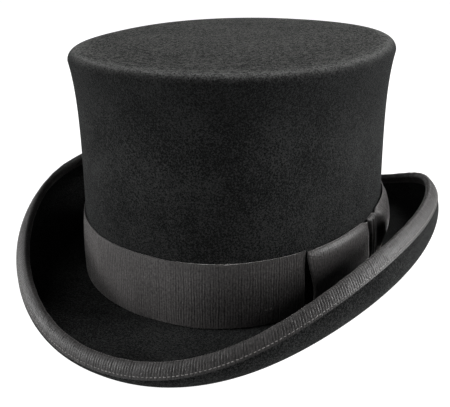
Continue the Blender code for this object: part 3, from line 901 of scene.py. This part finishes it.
def make_inner_bow(material):
    """A little flat bow of narrow ribbon over the sweatband's back seam."""
    level = sweatband_low(math.pi) + SWEATBAND_WIDTH / 2
    origin = place(np.array(math.pi), inner_wall(level) - 2 * GAP - WELT - SWEATBAND - 0.0016, level)
    turns = TURN * np.arange(64) / 64
    share = np.linspace(-1, 1, 13)
    loop = np.abs(np.sin(turns))
    reach = 0.0118 * signed_power(np.sin(turns), 0.8)
    half = 0.0017 + 0.0036 * np.minimum(loop * 1.5, 1) ** 1.4
    deep = 0.00075 * np.cos(turns) * (0.35 + 0.65 * np.sin(np.pi * np.minimum(loop, 1)) ** 0.7)
    gather = 0.00018 * np.cos(share[:, None] * 9) * np.exp(-loop / 0.35)[None, :]
    sizes = (reach[None, :], deep[None, :] + gather, share[:, None] * half[None, :])
    rows = np.stack(np.broadcast_arrays(*sizes), -1)
    loops = grid("inner_bow_loops", rows + origin, material, "grosgrain", ["sweatband_bow"])
    thicken(loops, 0.00022, 0)
    wrap = TURN * np.arange(24) / 24
    width = np.linspace(-1, 1, 7)[:, None]
    wide = 0.0016 * width * (1 - 0.15 * np.cos(2 * wrap))[None, :]
    ring = np.broadcast_arrays(wide, 0.00105 * np.cos(wrap), 0.0023 * np.sin(wrap))
    knot = grid("inner_bow_knot", np.stack(ring, -1) + origin, material, "grosgrain", [])
    thicken(knot, 0.00022, 1)


def make_lining_side(material):
    def section(angle):
        low = sweatband_low(angle) + LINING_RISE
        top = CROWN_HEIGHT - SHOULDER_RADIUS
        share = np.concatenate([np.linspace(0, 0.85, 24), [0.89, 0.925, 0.955, 0.98, 1.0]])[:, None]
        heights = low + (top - low) * share
        clear = sweatband_low(angle) + SWEATBAND_WIDTH + 0.001
        hang = smooth(heights, clear, clear + 0.030)
        soft = 0.5 + 0.5 * np.sin(31 * angle + 2.2 * np.sin(5 * angle) + 12 * heights)
        fine = 0.5 + 0.5 * np.sin(96 * angle + 1.5 * np.sin(17 * angle))
        fold = 0.0009 * soft * hang + 0.0005 * fine * smooth(share, 0.7, 1.0)
        offsets = inner_wall(heights) - GAP - fold
        return np.vstack([offsets, offsets[-1:] - GAP]), np.vstack([heights, heights[-1:] + 4 * GAP])

    rows = rings(section, LINING_COLUMNS)
    thing = grid("satin_side_lining", rows, material, "satin", ["lining_side"])
    thicken(thing, SATIN, -1)


def make_lining_tip(material):
    rim = wall_offset(CROWN_HEIGHT) - SHOULDER_RADIUS
    scales = np.concatenate([[1.0, 0.99, 0.975], np.linspace(0.95, 0.02, 24)])
    rows = tip_rows(rim, CROWN_HEIGHT - FELT - GAP, scales, sag=TIP_SAG)
    thing = grid("satin_tip_lining", rows, material, "satin", ["lining_tip"], pole=True)
    thicken(thing, SATIN, -1)


# ---- floor, light and camera ---------------------------------------------------------------------


FLOOR_HALF = 6.0
FLOOR_GLOW = 0.47  # what the hat gets of it, where the camera sees 1


def make_floor():
    """Pale ground, which glows fully white for the camera and about half as strongly for the hat."""
    mesh = bpy.data.meshes.new("floor")
    size = FLOOR_HALF
    corners = [(-size, -size, 0), (size, -size, 0), (size, size, 0), (-size, size, 0)]
    mesh.from_pydata(corners, [], [(0, 1, 2, 3)])
    floor = put_in_scene("floor", mesh)
    f = Finish("pale_floor", 0.9, specular=0.0)
    tone = f.noise(f.place(), 3.0, 2.0, 0.5)
    f.colour(f.mix(tone, (0.27, 0.27, 0.27), (0.28, 0.28, 0.28)))
    f.shader.inputs["Emission Color"].default_value = (1, 1, 1, 1)
    seen = f.add("LightPath").outputs["Is Camera Ray"]
    glow = f.math("ADD", f.math("MULTIPLY", seen, 1 - FLOOR_GLOW), FLOOR_GLOW)
    f.tree.links.new(glow, f.shader.inputs["Emission Strength"])
    mesh.materials.append(f.material)


CAMERA_AZIMUTH = 0.4694  # from the hat's front towards its bow, in radians
CAMERA_RISE = 0.3141  # above level
CAMERA_DISTANCE = 0.41415
CAMERA_LENS = 51.70  # mm, on a 36 mm sensor
CAMERA_SHIFT = (-0.0286, -0.1192)
CAMERA_TARGET = Vector((0, 0, 0.075))
TO_CAMERA = Vector((math.sin(CAMERA_AZIMUTH), -math.cos(CAMERA_AZIMUTH), 0))
TO_RIGHT = Vector((math.cos(CAMERA_AZIMUTH), math.sin(CAMERA_AZIMUTH), 0))


def make_camera():
    data = bpy.data.cameras.new("camera")
    data.sensor_width = 36
    data.lens = CAMERA_LENS
    data.shift_x, data.shift_y = CAMERA_SHIFT
    camera = put_in_scene("camera", data)
    away = TO_CAMERA * math.cos(CAMERA_RISE) + Vector((0, 0, math.sin(CAMERA_RISE)))
    camera.location = CAMERA_TARGET + CAMERA_DISTANCE * away
    camera.rotation_euler = (-away).to_track_quat("-Z", "Y").to_euler()
    bpy.context.scene.camera = camera


def make_light(name, right, front, up, width, height, power):
    """A soft box facing the hat, placed as the camera sees it: metres to the right, towards it and up."""
    data = bpy.data.lights.new(name, "AREA")
    data.shape = "RECTANGLE"
    data.size, data.size_y = width, height
    data.energy = power
    lamp = put_in_scene(name, data)
    spot = right * TO_RIGHT + front * TO_CAMERA + Vector((0, 0, up))
    lamp.location = spot
    lamp.rotation_euler = (CAMERA_TARGET - spot).to_track_quat("-Z", "Y").to_euler()


def make_lights():
    make_light("right_side", 1.1, 0.2, 0.6, 0.45, 0.4, 10)
    make_light("right_back", 0.6, -0.5, 1.0, 0.45, 0.45, 7)
    make_light("right_low", 1.2, 0.2, 0.3, 0.45, 0.3, 5)
    make_light("left_low", -1.2, 0.1, 0.3, 0.45, 0.3, 7)
    make_light("left_front", -1.0, 0.6, 0.3, 0.45, 0.3, 1.5)
    make_light("left_side", -1.0, 0.2, 0.7, 0.45, 0.45, 2.5)
    make_light("left_back", -0.8, -0.1, 1.0, 0.45, 0.45, 2)
    world = bpy.data.worlds.new("studio")
    world.use_nodes = True
    world.node_tree.nodes["Background"].inputs["Color"].default_value = (1, 1, 1, 1)
    world.node_tree.nodes["Background"].inputs["Strength"].default_value = 1.0
    world.cycles_visibility.diffuse = False
    world.cycles_visibility.glossy = False
    bpy.context.scene.world = world
    bpy.context.scene.view_settings.view_transform = "Standard"


def main():
    make_camera()
    felt = felt_finish()
    ribbon = ribbon_finish("grosgrain_ribbon", (0.050, 0.0475, 0.047), (0.140, 0.132, 0.130), 0.95, 0.28)
    # a darker copy of the band's ribbon for the binding and the knot: painted shade
    shaded_ribbon = ribbon_finish("grosgrain_shaded", (0.023, 0.0218, 0.0217), (0.081, 0.0764, 0.0752), 0.50, 0.42)
    thread = thread_finish()
    satin = satin_finish()
    make_felt(felt)
    make_binding(shaded_ribbon)
    make_binding_stitches(thread)
    make_band(ribbon)
    make_bow_loops(ribbon)
    make_bow_knot(shaded_ribbon)
    make_tacks(thread)
    make_reed(reed_finish())
    make_welt(welt_finish())
    make_sweatband(leather_finish(), thread)
    make_inner_bow(ribbon)
    make_lining_side(satin)
    make_lining_tip(satin)
    make_floor()
    make_lights()


main()
